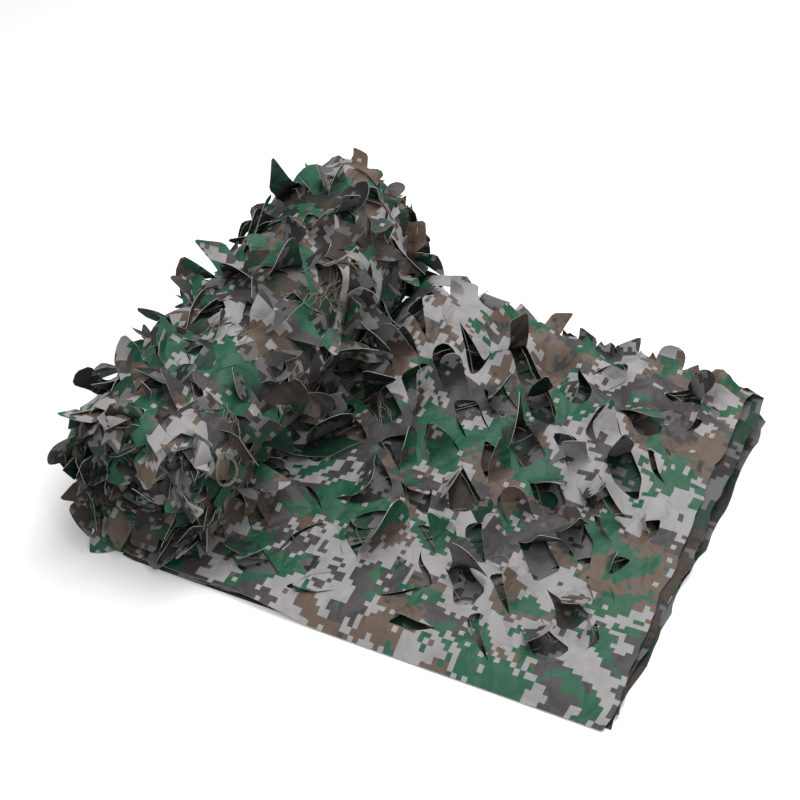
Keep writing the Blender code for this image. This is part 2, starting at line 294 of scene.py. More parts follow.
@dataclass(frozen=True)
class FlatEnd:
    """How the unrolled end of the strip lies on the floor."""

    sizes: NetSizes
    near_height: float = 0.0118
    far_height: float = 0.060
    middle_height: float = 0.010
    end_drop: float = 0.60
    end_length: float = 0.16
    swell: float = 0.15
    roll_blend: float = 0.10
    under_roll: float = 0.06
    far_blend: float = 0.062
    hump: float = 0.030
    hump_place: float = 0.372
    hump_length: float = 0.062
    dimple: float = 0.0025
    far_delay: float = 0.046
    free_until: tuple[float, float] = (0.30, 0.46)
    hung_until: tuple[float, float] = (0.30, 0.42)
    flattened: float = 0.36
    spread_length: float = 0.12
    end_spread: tuple[float, ...] = (0.026, 0.012, 0.020, 0.0)
    end_wave: float = 0.0035
    hang_width: float = 0.024
    hang_reach: float = 0.0075
    tuck: float = 0.014
    tuck_width: float = 0.06
    wrinkle: float = 0.0030
    ripple: float = 0.0030

    def top_height(self, along: Array, across: Array) -> Array:
        """Height of the top layer over the floor."""
        net = self.sizes
        share = np.clip(across / net.strip, 0, 1)
        end = self.end_drop + (1 - self.end_drop) * smooth(0, self.end_length, along)
        swell = 1 - self.swell + self.swell * np.sin(19 * along + 1)
        rise = self.far_height - self.near_height
        height = self.near_height + rise * smooth(0.30, 1.0, share) * end * swell
        middle = np.sin(math.pi * share)
        height = height + self.middle_height * middle * np.sin(math.pi * along / net.tail)
        height = height + self.dimple * np.sin(23 * along + 31 * across) * middle
        far = smooth(0.62, 0.98, share)
        height = height + self.hump * far * np.exp(-((along - self.hump_place)
                                                     / self.hump_length) ** 2)
        length = self.roll_blend + (self.far_blend - self.roll_blend) * far
        low = net.tail - self.roll_blend - self.under_roll + self.far_delay * far
        rolled = net.cloth / 2 + (net.layers - 1) * net.layer_pitch
        run = np.clip((along - low) / length, 0.0, 1.0)
        return height + (rolled - height) * run * run * (3 - 2 * run)

    def point(self, along: Array, level: Array, across: Array, crumple: Crumple,
              creases: Crumple) -> Array:
        """Points of the flat end.

        Args:
            along: Distances from the free end.
            level: Layers, 0 on the floor.
            across: Distances from the near edge.
            crumple: The field that wrinkles the cloth.
            creases: The finer field that bends its ribbons.

        Returns:
            One row (x, y, z) for each point, in the strip's own frame.
        """
        net = self.sizes
        inside = np.clip(across, 0, net.strip)
        share = level / (net.layers - 1)
        base = net.cloth / 2
        height = base + (self.top_height(along, inside) - base) * share
        free = 1 - smooth(*self.free_until, along)
        hung = 1 - smooth(*self.hung_until, along)
        top = smooth(2.5, 2.9, level)
        far = 0.5 + 0.9 * smooth(0.2, 0.9, inside / net.strip)
        height = height + self.wrinkle * free * far * share * crumple.at(along, across + 2 * level)
        inner = smooth(0.0, 0.03, along) * smooth(0.0, 0.03, inside)
        rough = 0.40 + 2.1 * smooth(0.36, 0.95, inside / net.strip)
        ripple = self.ripple * free * rough * share * inner
        height = height + ripple * creases.at(along, across + level)
        tucked = (1 - smooth(0, self.tuck_width, inside)) * (1 - top)
        tucked = tucked * smooth(0.0, 0.5, level) * free
        height = base + (height - base) * (1 - self.flattened * tucked)
        spread = np.interp(level, range(net.layers), self.end_spread)
        spread = spread * (0.25 + 0.75 * inside / net.strip)
        spread = spread + self.end_wave * crumple.at(3 * level, 1.6 * inside)
        ahead = spread * (1 - smooth(0, self.spread_length, along))
        hang = (1 - smooth(0, self.hang_width, inside)) * top * hung
        height = height + (base + net.cloth - height) * hang ** 1.5
        return np.stack([ahead - along, across + self.tuck * tucked - self.hang_reach * hang,
                         np.maximum(height, base)], axis=-1)


@dataclass
class FoldedStrip:
    """The folded and rolled strip, which every point of the flat net is carried to."""

    sizes: NetSizes = field(default_factory=NetSizes)
    bulge: float = 0.006
    near_bulge: float = 0.002
    near_zone: float = 0.004

    def __post_init__(self) -> None:
        """Makes the two parts of the strip and the fields that crumple them."""
        self.roll = RollForm(self.sizes)
        self.end = FlatEnd(self.sizes)
        self.roll_crumple = Crumple(seed=3, shortest=0.035, longest=0.16)
        self.end_crumple = Crumple(seed=5, shortest=0.05, longest=0.22)
        self.creases = Crumple(seed=9, shortest=0.036, longest=0.080, waves=18)

    def section(self, along: Array, over: Array) -> tuple[Array, Array]:
        """Where a place of the flat net comes in the back-and-forth section.

        Args:
            along: Distances from the free end.
            over: Distances across the flat net.

        Returns:
            The layers, and the distances from the near edge.
        """
        net = self.sizes
        layer = np.clip(np.floor(over / net.strip), 0, net.layers - 1)
        local = over - layer * net.strip
        away = layer % 2 == 0
        far_rise = self.end.top_height(np.minimum(along, net.tail), net.strip)
        far_zone = math.pi / 4 * far_rise / (net.layers - 1)
        start_zone = np.where(layer == 0, 1e-6, np.where(away, self.near_zone, far_zone))
        last = layer == net.layers - 1
        end_zone = np.where(last, 1e-6, np.where(away, far_zone, self.near_zone))
        run = (local - start_zone) / (net.strip - start_zone - end_zone)
        run = np.where(layer == 0, run, np.maximum(run, 0))
        run = np.where(last, run, np.minimum(run, 1))
        across = np.where(away, run, 1 - run) * net.strip
        level = layer.astype(float)
        starting = (local < start_zone) & (layer > 0)
        ending = (net.strip - local < end_zone) & ~last
        turn = np.where(starting, local / start_zone, (net.strip - local) / end_zone)
        turn = np.clip(turn, 0, 1) * math.pi / 2
        level = np.where(starting, layer - 0.5 + 0.5 * np.sin(turn), level)
        level = np.where(ending, layer + 0.5 - 0.5 * np.sin(turn), level)
        outward = np.where(across > net.strip / 2, 1.0, -1.0)
        bulge = np.where(outward > 0, self.bulge, self.near_bulge)
        round_out = np.where(starting | ending, bulge * np.cos(turn), 0.0)
        return level, across + outward * round_out

    def place(self, flat: Array) -> Array:
        """Carries places of the flat net over to the folded and rolled strip.

        Args:
            flat: One row (along, over) for each place.

        Returns:
            One row (x, y, z) for each place, in the strip's own frame.
        """
        along, over = flat[..., 0], flat[..., 1]
        level, across = self.section(along, over)
        rolled = self.roll.point(along, level, across, self.roll_crumple, self.creases)
        lying = self.end.point(along, level, across, self.end_crumple, self.creases)
        return np.where((along < self.sizes.tail)[..., None], lying, rolled)

    def surface(self, flat: Array, ahead: Array) -> tuple[Array, Array, Array]:
        """The cloth's place and directions.

        Args:
            flat: One row (along, over) for each place.
            ahead: One flat direction of length 1 for each place.

        Returns:
            The points, the direction that ahead becomes, and the printed side's normal.
        """
        step = 0.003
        side = np.stack([-ahead[..., 1], ahead[..., 0]], axis=-1)
        here = self.place(flat)
        forward = unit(self.place(flat + ahead * step) - self.place(flat - ahead * step))
        beside = unit(self.place(flat + side * step) - self.place(flat - side * step))
        return here, forward, unit(np.cross(forward, beside))


class TipShape(Enum):
    """The outline of a tongue: (share of its width, share of its length) from root to root."""

    ROUND = ((-0.5, 0.0), (-0.53, 0.45), (-0.50, 0.76), (-0.27, 0.96), (0.0, 1.0),
             (0.27, 0.95), (0.50, 0.72), (0.5, 0.3), (0.46, 0.0))
    POINTED = ((-0.5, 0.0), (-0.55, 0.50), (-0.08, 1.0), (0.04, 0.99), (0.52, 0.55), (0.5, 0.0))
    SQUARE = ((-0.5, 0.0), (-0.47, 0.4), (-0.52, 0.97), (0.50, 1.0), (0.52, 0.5), (0.48, 0.0))
    LEANING = ((-0.46, 0.0), (-0.52, 0.3), (-0.64, 0.98), (-0.52, 1.0), (0.50, 0.62), (0.47, 0.0))
    FLARED = ((-0.38, 0.0), (-0.40, 0.45), (-0.66, 0.88), (-0.05, 1.0), (0.62, 0.82), (0.42, 0.4),
              (0.40, 0.0))
    HOOK = ((-0.5, 0.0), (-0.54, 0.35), (-0.55, 0.74), (-0.44, 0.96), (-0.15, 1.0), (0.15, 0.93),
            (0.52, 0.66))
    SEVEN = ((-0.52, 0.72), (-0.25, 0.88), (0.1, 0.97), (0.48, 1.0), (0.52, 0.66),
             (0.47, 0.35), (0.50, 0.12), (0.56, 0.0))


BROAD_TIPS = (TipShape.HOOK, TipShape.SEVEN, TipShape.HOOK, TipShape.ROUND)
FLAT_TIPS = (TipShape.POINTED, TipShape.SQUARE, TipShape.ROUND, TipShape.LEANING, TipShape.SQUARE,
             TipShape.FLARED)
ROLL_TIPS = (TipShape.POINTED, TipShape.SQUARE, TipShape.LEANING, TipShape.POINTED,
             TipShape.LEANING, TipShape.FLARED)
SPARE_TIPS = (TipShape.POINTED, TipShape.SQUARE, TipShape.LEANING, TipShape.ROUND,
              TipShape.POINTED, TipShape.FLARED)
FOLD_TIPS = (TipShape.POINTED, TipShape.SQUARE, TipShape.ROUND, TipShape.LEANING)


class Place(Enum):
    """Which part of the folded net a tongue belongs to."""

    FLAT_TOP = "flat top"
    FLAT_UNDER = "flat under"
    ROLL_OUTER = "roll outer"
    ROLL_UNDER = "roll under"
    ROLL_END = "roll end"
    FOLD_EDGE = "fold edge"


@dataclass(frozen=True)
class Bend:
    """How a tongue stands out of the cloth."""

    start: float
    curl: float
    twist: float
    pull: float
    slide: float = 0.0


@dataclass(frozen=True)
class BendRange:
    """How far a group of tongues stands: (least, spread) in degrees at the root and of the curl."""

    start: tuple[float, float]
    curl: tuple[float, float]
    climb: tuple[float, float] = (0.0, 0.0)

    def drawn(self, draws: Array, climb: float = 0.0) -> tuple[float, float]:
        """One tongue's start and curl in degrees.

        Args:
            draws: Random numbers from 0 to 1.
            climb: How much the tongue points up a steep place, from 0 to 1.

        Returns:
            The start and the curl.
        """
        start = self.start[0] + self.start[1] * draws[0] + self.climb[0] * climb * draws[3]
        return start, self.curl[0] + self.curl[1] * draws[1] + self.climb[1] * climb


@dataclass(frozen=True)
class FlatBends:
    """How the flat end's tongues stand: low near the front edge, and looser towards the back."""

    rising: tuple[float, float] = (0.22, 0.85)
    loose_chance: float = 0.50
    loose_share: float = 0.66
    start: tuple[float, float, float] = (9, 18, 62)
    curl: tuple[float, float, float] = (-10, 20, 90)
    curl_down: float = 0.30
    pull: tuple[float, float] = (0.07, 0.13)
    twist: tuple[float, float] = (0.4, 0.5)
    slide: float = 0.26

    def drawn(self, draws: Array, share: float) -> tuple[float, float, float, float]:
        """One tongue's start and curl in degrees, and its twist and pull.

        Args:
            draws: Random numbers from 0 to 1.
            share: How far back it is, from 0 to 1.

        Returns:
            The start, the curl, the twist and the pull.
        """
        loose = float(smooth(*self.rising, share)) * (0.5 + 0.5 * draws[3])
        loose = max(loose, self.loose_share if draws[3] < self.loose_chance else 0.0)
        start = self.start[0] + self.start[1] * draws[0] + self.start[2] * loose * draws[0]
        lifted = draws[1] - self.curl_down + 0.5 * max(draws[0] - 0.5, 0)
        curl = self.curl[0] + self.curl[1] * draws[1] + self.curl[2] * loose * lifted
        return (start, curl, self.twist[0] + self.twist[1] * loose,
                self.pull[0] + self.pull[1] * draws[4])


TOP_BENDS = FlatBends()
OUTER_BENDS = BendRange((12, 50), (-50, 120), (60, 40))
FLAT_FOLD_BENDS = BendRange((-25, 85), (-90, 150))
ROLL_FOLD_BENDS = BendRange((-15, 90), (-40, 120))
UNDER_BENDS = BendRange((6, 44), (-30, 80))
END_BENDS = BendRange((-20, 60), (-40, 90))


@dataclass(frozen=True)
class Tongue:
    """A tongue that is cut free all round except at its root."""

    outline: Array
    bend: Bend

    @property
    def root(self) -> tuple[Array, Array]:
        """The two ends of the root, on the flat net."""
        return self.outline[0], self.outline[-1]


def rounded(points: Array, spacing: float) -> Array:
    """An open line through a tongue's outline, with small round corners.

    Args:
        points: The corners of the line.
        spacing: Greatest distance between the points of the result.

    Returns:
        The points of the line.
    """
    steps = np.linalg.norm(np.diff(points, axis=0), axis=1)
    line = [points[0]]
    for here in range(1, len(points) - 1):
        cut = min(0.0035, 0.3 * steps[here - 1], 0.3 * steps[here])
        line.append(points[here] + (points[here - 1] - points[here]) * cut / steps[here - 1])
        line.append(points[here] + (points[here + 1] - points[here]) * cut / steps[here])
    line.append(points[-1])
    made = [line[0]]
    for first, second in zip(line[:-1], line[1:]):
        count = max(1, math.ceil(np.linalg.norm(second - first) / spacing))
        made += [first + (second - first) * part / count for part in range(1, count + 1)]
    return np.array(made)


class CutGround:
    """Remembers which parts of the flat net are cut already."""

    def __init__(self, sizes: NetSizes, cell: float = 0.004) -> None:
        """Starts with an uncut net.

        Args:
            sizes: The net.
            cell: Size of the squares that are looked at.
        """
        self.cell = cell
        self.taken = np.zeros((math.ceil(sizes.length / cell) + 1,
                               math.ceil(sizes.width / cell) + 1), bool)

    def under(self, outline: Array, margin: float) -> tuple[Array, Array]:
        """The squares under an outline that is made larger by a margin."""
        middle = outline.mean(axis=0)
        offset = outline - middle
        grown = middle + offset * (1 + margin / np.linalg.norm(offset, axis=1).mean())
        low = np.maximum(np.floor(grown.min(axis=0) / self.cell).astype(int), 0)
        high = np.minimum(np.ceil(grown.max(axis=0) / self.cell).astype(int), self.taken.shape)
        columns, rows = np.meshgrid(np.arange(low[0], high[0]), np.arange(low[1], high[1]))
        columns, rows = columns.ravel(), rows.ravel()
        inside = enclosed((np.stack([columns, rows], axis=1) + 0.5) * self.cell, grown)
        return columns[inside], rows[inside]

    def is_free(self, outline: Array) -> bool:
        """Whether nothing is cut under an outline."""
        return not self.taken[self.under(outline, 0.0)].any()

    def take(self, outline: Array, margin: float) -> None:
        """Marks an outline and the ribbon round it as cut."""
        self.taken[self.under(outline, margin)] = True


@dataclass
class CutPattern:
    """The die cuts of one part of the net: slanting columns of tongues, inside its plain hem."""

    strip: FoldedStrip
    start: float
    end: float
    narrow: tuple[float, float]
    wide: tuple[float, float]
    wide_chance: float
    seed: int
    slant: float = math.radians(45)
    ribbon: float = 0.014
    lengths: tuple[float, float] = (0.050, 0.064)
    row_gap: tuple[float, float] = (0.009, 0.016)
    fold_margin: float = 0.016
    end_depth: float = 0.07
    spare_ribbon: float = 0.009
    spare_widths: tuple[float, float] = (0.022, 0.034)
    spare_lengths: tuple[float, float] = (0.038, 0.056)
    second_scale: float = 0.72
    fold_widths: tuple[float, float] = (0.022, 0.040)
    fold_gaps: tuple[float, float] = (0.010, 0.020)
    spare_places: tuple[tuple[float, float, float, float, int], ...] = ()

    def tongues(self) -> list[Tongue]:
        """Every tongue that can show, with how it stands."""
        chance = np.random.default_rng(self.seed)
        net = self.strip.sizes
        reach = net.length + net.width
        made: list[Tongue] = []
        column = -reach / 2
        while column < reach:
            broad = chance.random() < self.wide_chance
            width = chance.uniform(*(self.wide if broad else self.narrow))
            column += self.ribbon + width
            middle = column - width / 2
            row = -reach + chance.uniform(0, 0.08)
            forward = chance.random() < 0.5
            while row < reach:
                length = chance.uniform(*self.lengths)
                centre = self.unslant(middle, row + length / 2)
                turned = forward != (chance.random() < 0.35)
                draws = chance.random(8)
                if self.start < centre[0] < self.end and 0 < centre[1] < net.width:
                    self.add(made, (middle, row), (width, length), broad, turned, draws)
                row += length + chance.uniform(*self.row_gap)
        made += self.fold_tongues(chance)
        return made + self.spare_tongues(made, chance)

    def spare_tongues(self, made: list[Tongue], chance: np.random.Generator) -> list[Tongue]:
        """Smaller tongues, wherever the slanting columns leave room for them.

        Args:
            made: The tongues so far.
            chance: The random draws.

        Returns:
            The smaller tongues.
        """
        ground = CutGround(self.strip.sizes)
        for tongue in made:
            ground.take(tongue.outline, self.spare_ribbon)
        spare = []
        for low, high, first, last, tries in self.spare_places:
            for attempt in range(tries):
                scale = 1.0 if attempt < tries / 2 else self.second_scale
                size = (scale * chance.uniform(*self.spare_widths),
                        scale * chance.uniform(*self.spare_lengths))
                turn = self.slant + math.pi / 2 * chance.integers(4) + chance.uniform(-0.25, 0.25)
                middle = np.array([chance.uniform(low, high), chance.uniform(first, last)])
                draws = chance.random(8)
                outline = self.drawn(SPARE_TIPS, size, draws) - (0.0, size[1] / 2)
                cos, sin = math.cos(turn), math.sin(turn)
                outline = middle + outline @ np.array([[cos, sin], [-sin, cos]])
                place = self.place_of(outline)
                if place is not None and ground.is_free(outline):
                    ground.take(outline, self.spare_ribbon)
                    spare.append(self.tongue(outline, place, draws[3:]))
        return spare

    def unslant(self, column: float, row: float) -> Array:
        """A place of the slanting pattern as a place on the flat net."""
        cos, sin = math.cos(self.slant), math.sin(self.slant)
        return np.array([column * cos - row * sin, column * sin + row * cos])

    def add(self, made: list[Tongue], corner: tuple[float, float], size: tuple[float, float],
            broad: bool, turned: bool, draws: Array) -> None:
        """Adds one tongue, if the net is cut there.

        Args:
            made: The tongues so far.
            corner: Middle of the column, and where the row starts.
            size: Width and length of the tongue.
            broad: Whether it is one of the wide ones.
            turned: Whether it points the other way.
            draws: Eight random numbers from 0 to 1.
        """
        middle, row = corner
        narrow_tips = FLAT_TIPS if self.start < self.strip.sizes.tail else ROLL_TIPS
        outline = self.drawn(BROAD_TIPS if broad else narrow_tips, size, draws)
        if turned:
            outline = np.array([0.0, size[1]]) - outline
        cos, sin = math.cos(self.slant), math.sin(self.slant)
        outline = outline + (middle, row)
        outline = np.stack([outline[:, 0] * cos - outline[:, 1] * sin,
                            outline[:, 0] * sin + outline[:, 1] * cos], axis=1)
        place = self.place_of(outline)
        if place is not None:
            made.append(self.tongue(outline, place, draws[3:]))

    def drawn(self, shapes: tuple[TipShape, ...], size: tuple[float, float],
              draws: Array) -> Array:
        """A tongue's outline, its root along the first axis and its tip along the second."""
        shape = shapes[int(draws[0] * len(shapes)) % len(shapes)]
        outline = np.array(shape.value)
        if draws[1] < 0.5:
            outline = outline[::-1] * (-1, 1)
        outline = outline * size
        outline[:, 0] += (draws[2] - 0.5) * 0.2 * outline[:, 1]
        return outline

    def tongue(self, outline: Array, place: Place, draws: Array) -> Tongue:
        """A tongue with a smooth outline, and bent as tongues are at its place."""
        fine = place in (Place.FLAT_TOP, Place.ROLL_OUTER)
        line = rounded(outline, 0.0070 if fine else 0.012)
        return Tongue(line, self.bend(place, line, draws))

    def fold_tongues(self, chance: np.random.Generator) -> list[Tongue]:
        """Tongues that are cut across the folds, and stand out past them."""
        net = self.strip.sizes
        made = []
        rolled = self.start >= net.tail
        for number in range(1, net.layers):
            near = number % 2 == 0
            if near and not rolled:
                continue
            fold = number * net.strip
            along = max(self.start, 0.03) + 0.02
            outward = 1.0
            while along < min(self.end, net.length - 0.15):
                width = chance.uniform(*self.fold_widths)
                tall = 0.042 if rolled or along > 0.31 else 0.021
                beyond = chance.uniform(0.45 * tall, tall)
                draws = chance.random(8)
                outline = self.drawn(FOLD_TIPS, (width, self.fold_margin + beyond), draws)
                outline = np.stack([along + outline[:, 0],
                                    fold + outward * (outline[:, 1] - self.fold_margin)], axis=1)
                made.append(self.tongue(outline, Place.FOLD_EDGE, draws[3:]))
                along += width + chance.uniform(*self.fold_gaps)
                outward = -outward if chance.random() < 0.8 else outward
        return made

    def place_of(self, outline: Array) -> Place | None:
        """Which part of the folded net an outline is in, or None where no cut is made."""
        net = self.strip.sizes
        low, high = outline.min(axis=0), outline.max(axis=0)
        if low[0] < max(self.start, net.hem + 0.003) or high[0] > self.end:
            return None
        margin = 0.014 if high[0] < net.tail else net.hem + 0.006
        if low[1] < margin or high[1] > net.width - margin:
            return None
        middle = outline.mean(axis=0)
        layer = int(middle[1] // net.strip)
        across = middle[1] - layer * net.strip
        flat = high[0] < net.tail
        for number in range(1, net.layers):
            fold = number * net.strip
            margin = 0.012 if flat and number % 2 == 0 else 0.034
            if low[1] < fold + margin and high[1] > fold - margin:
                return None
        edge = min(across, net.strip - across)
        if flat:
            if layer == net.layers - 1:
                return Place.FLAT_TOP
            return Place.FLAT_UNDER if layer == net.layers - 2 else None
        if middle[0] < net.outer_end + 0.02:
            if layer == 0:
                return Place.ROLL_OUTER
            if layer == 1 or edge < self.end_depth:
                return Place.ROLL_UNDER
            return None
        return Place.ROLL_END if edge < self.end_depth else None

    def bend(self, place: Place, line: Array, draws: Array) -> Bend:
        """How a tongue stands, from where it is.

        Args:
            place: The part of the folded net that it belongs to.
            line: Its outline.
            draws: Five random numbers from 0 to 1.

        Returns:
            Its bend.
        """
        root = (line[0] + line[-1]) / 2
        way = (line[-1] - line[0]) / np.linalg.norm(line[-1] - line[0])
        out = np.array([-way[1], way[0]])
        out = out if (line.mean(axis=0) - root) @ out > 0 else -out
        level, across = self.strip.section(root[None, 0], root[None, 1])
        _, ahead, normal = self.strip.surface(root[None], out[None])
        share = float(across[0]) / self.strip.sizes.strip
        flat = root[0] < self.strip.sizes.tail
        outward = 1.0 if (round(float(level[0])) % 2 == 1) == flat else -1.0
        climb = max(0.0, float(ahead[0, 2])) * max(0.0, 1 - abs(float(normal[0, 2])))
        hang = -1.0 if normal[0, 2] > 0 else 1.0
        swing = (draws[2] - 0.5) * 2
        twist, pull, slide, sign = 0.6, 0.03, 0.10 * swing, hang
        if place is Place.FLAT_TOP:
            start, curl, twist, pull = TOP_BENDS.drawn(draws, share)
            sign, slide = 1.0, TOP_BENDS.slide * swing
        elif place is Place.ROLL_OUTER:
            start, curl = OUTER_BENDS.drawn(draws, climb)
            sign, twist = 1.0, 0.8
        elif place is Place.FOLD_EDGE and flat:
            start, curl = FLAT_FOLD_BENDS.drawn(draws)
            sign = outward
        elif place is Place.FOLD_EDGE:
            start, curl = ROLL_FOLD_BENDS.drawn(draws)
        elif place is Place.ROLL_UNDER:
            start, curl = UNDER_BENDS.drawn(draws)
            sign = outward
        else:
            start, curl = END_BENDS.drawn(draws)
        return Bend(sign * math.radians(start), sign * math.radians(curl), twist * swing, pull,
                    slide)


@dataclass
class ClothMesh:
    """Turns the flat net with its cuts into the mesh of the folded and rolled cloth."""

    strip: FoldedStrip
    tongues: list[Tongue]
    thickness: float = 0.00045
    gap: float = 0.105
    fine: float = 0.0066
    medium: float = 0.015
    coarse: float = 0.042
    tooth: float = 0.026
    tooth_pitch: float = 0.044
    root_spacing: float = 0.009
    search_cell: float = 0.006
    least_gap: float = 0.0032
    sharp_angle: float = math.radians(48)
    limits: tuple[tuple[int, float, float, float], ...] = (
        (0, -0.655, -1, 0.018),
        (1, 0.520, 1, 0.026),
        (1, 0.000, -1, 0.016),
        (2, 0.226, 1, 0.018),
        (0, 0.024, 1, 0.008),
    )

    def zones(self) -> list[tuple[float, float, float, float, float]]:
        """Parts of the flat net: lowest and highest along, lowest and highest over, spacing."""
        net = self.strip.sizes
        top = (net.layers - 1) * net.strip
        showing = net.tail - 0.05
        return [
            (0.0, showing, top, net.width, self.fine),
            (showing, net.outer_end + 0.04, 0.0, net.strip, self.fine),
            (0.0, showing, net.strip * 2, top, self.medium),
            (showing, net.outer_end + 0.04, net.strip, net.strip * 2, self.medium),
        ]

    def spacing_at(self, flat: Array) -> Array:
        """Distance between the mesh's points at each place."""
        spacing = np.full(len(flat), self.coarse)
        for low, high, first, last, fine in reversed(self.zones()):
            inside = ((flat[:, 0] >= low) & (flat[:, 0] < high)
                      & (flat[:, 1] >= first) & (flat[:, 1] < last))
            spacing[inside] = fine
        return spacing

    def border(self) -> Array:
        """The net's edge: plain, except for teeth along the roll's own edges."""
        net = self.strip.sizes
        chance = np.random.default_rng(23)
        low, high = self.toothed(chance), self.toothed(chance)
        high[:, 1] = net.width - high[:, 1]
        right = np.stack([np.full(60, net.length), np.linspace(0, net.width, 60)], axis=1)
        left = np.stack([np.zeros(160), np.linspace(net.width, 0, 160)], axis=1)
        return np.concatenate([low, right, high[::-1], left[1:-1]])

    def toothed(self, chance: np.random.Generator) -> Array:
        """One long edge of the net: plain along the flat end and toothed along the roll."""
        net = self.strip.sizes
        start = net.tail + 0.02
        places = [(place, 0.0) for place in np.linspace(0, start, 40)]
        left = start
        while left < net.length - 0.08:
            pitch = self.tooth_pitch * chance.uniform(0.8, 1.25)
            deep = self.tooth * chance.uniform(0.45, 1.0)
            lean = chance.uniform(-0.12, 0.12)
            places += [(left + pitch * (0.22 + lean), deep), (left + pitch * (0.45 + lean), deep),
                       (left + pitch * 0.78, 0.0), (left + pitch, 0.0)]
            left += pitch
        return np.array(places)

    def scattered(self) -> Array:
        """Points all over the net, at each zone's own spacing, in uneven rows."""
        net = self.strip.sizes
        chance = np.random.default_rng(29)
        found = []
        for spacing in (self.fine, self.medium, self.coarse):
            rise = spacing * math.sqrt(3) / 2
            columns = np.arange(spacing / 2, net.length, spacing)
            rows = np.arange(rise / 2, net.width, rise)
            grid = np.stack(np.meshgrid(columns, rows), axis=-1)
            grid[1::2, :, 0] += spacing / 2
            flat = grid.reshape(-1, 2) + chance.uniform(-0.2, 0.2, (grid.size // 2, 2)) * spacing
            found.append(flat[np.abs(self.spacing_at(flat) - spacing) < 1e-9])
        for fold in np.arange(1, net.layers) * net.strip:
            for offset in (-0.012, -0.004, 0.0, 0.004, 0.012):
                along = np.arange(0.008, net.length, 0.018)
                found.append(np.stack([along, np.full(len(along), fold + offset)], axis=1))
        flat = np.concatenate(found)
        inside = ((flat[:, 0] > 0.002) & (flat[:, 0] < net.length - 0.002)
                  & (flat[:, 1] > 0.003) & (flat[:, 1] < net.width - 0.003))
        return flat[inside]

    def triangulate(self) -> tuple[Array, Array, Array]:
        """Cuts the flat net into triangles that follow every cut.

        Returns:
            The flat points, the triangles, and each triangle's tongue, or -1.
        """
        loops = [self.border()]
        for tongue in self.tongues:
            start, end = tongue.root
            steps = max(2, round(np.linalg.norm(end - start) / self.root_spacing))
            back = np.linspace(end, start, steps + 1)[1:-1]
            loops.append(np.concatenate([tongue.outline, back]))
        edges = []
        count = 0
        for loop in loops:
            edges += [(count + here, count + (here + 1) % len(loop)) for here in range(len(loop))]
            count += len(loop)
        held = np.concatenate(loops)
        loose = self.scattered()
        loose = loose[self.clear_of(loose, held)]
        every = np.concatenate([held, loose])
        made = delaunay_2d_cdt([Vector(place) for place in every.tolist()], edges, [], 0, 1e-7)
        flat = np.array([tuple(place) for place in made[0]])
        triangles = np.array(made[2])
        middles = flat[triangles].mean(axis=1)
        inside = enclosed(middles, loops[0])
        triangles, middles = triangles[inside], middles[inside]
        owners = np.full(len(triangles), -1)
        for number, loop in enumerate(loops[1:]):
            low, high = loop.min(axis=0), loop.max(axis=0)
            near = np.nonzero(((middles > low) & (middles < high)).all(axis=1))[0]
            owners[near[enclosed(middles[near], loop)]] = number
        return flat, triangles, owners

    def clear_of(self, loose: Array, held: Array) -> Array:
        """Whether each loose point is far enough from the held ones."""
        cell = self.search_cell
        taken = {}
        for index, key in enumerate(map(tuple, np.floor(held / cell).astype(int))):
            taken.setdefault(key, []).append(index)
        keys = np.floor(loose / cell).astype(int)
        clear = np.ones(len(loose), bool)
        for index, (column, row) in enumerate(keys):
            near = [held[other] for side in (-1, 0, 1) for up in (-1, 0, 1)
                    for other in taken.get((column + side, row + up), ())]
            if near:
                gap = np.min(np.linalg.norm(np.array(near) - loose[index], axis=1))
                clear[index] = gap > self.least_gap
        return clear

    def split(self, flat: Array, triangles: Array, owners: Array) -> tuple[Array, Array, Array]:
        """Frees each tongue from the cloth round it, all along its cut.

        Args:
            flat: The flat points.
            triangles: The triangles.
            owners: Each triangle's tongue.

        Returns:
            The flat points with copies, the triangles, and each point's tongue, or -1.
        """
        flat_list = list(flat)
        owner_of = [-1] * len(flat_list)
        triangles = triangles.copy()
        for number in sorted(set(owners.tolist()) - {-1}):
            start, end = self.tongues[number].root
            way = (end - start) / np.linalg.norm(end - start)
            rows = np.nonzero(owners == number)[0]
            used = np.unique(triangles[rows])
            offset = flat[used] - start
            run = offset @ way
            off = np.abs(offset[:, 0] * way[1] - offset[:, 1] * way[0])
            at_root = (off < 1e-6) & (run > -1e-6) & (run < np.linalg.norm(end - start) + 1e-6)
            copies = {}
            for vertex, rooted in zip(used.tolist(), at_root):
                if not rooted:
                    copies[vertex] = len(flat_list)
                    flat_list.append(flat[vertex])
                    owner_of.append(number)
            for row in rows:
                triangles[row] = [copies.get(vertex, vertex) for vertex in triangles[row].tolist()]
        return np.array(flat_list), triangles, np.array(owner_of)

    def carried(self, flat: Array, owner_of: Array) -> Array:
        """Carries the flat points over to the strip, with each tongue bent out of the cloth."""
        points = self.strip.place(flat)
        for number in sorted(set(owner_of.tolist()) - {-1}):
            rows = np.nonzero(owner_of == number)[0]
            points[rows] = self.bent(self.tongues[number], flat[rows])
        return points

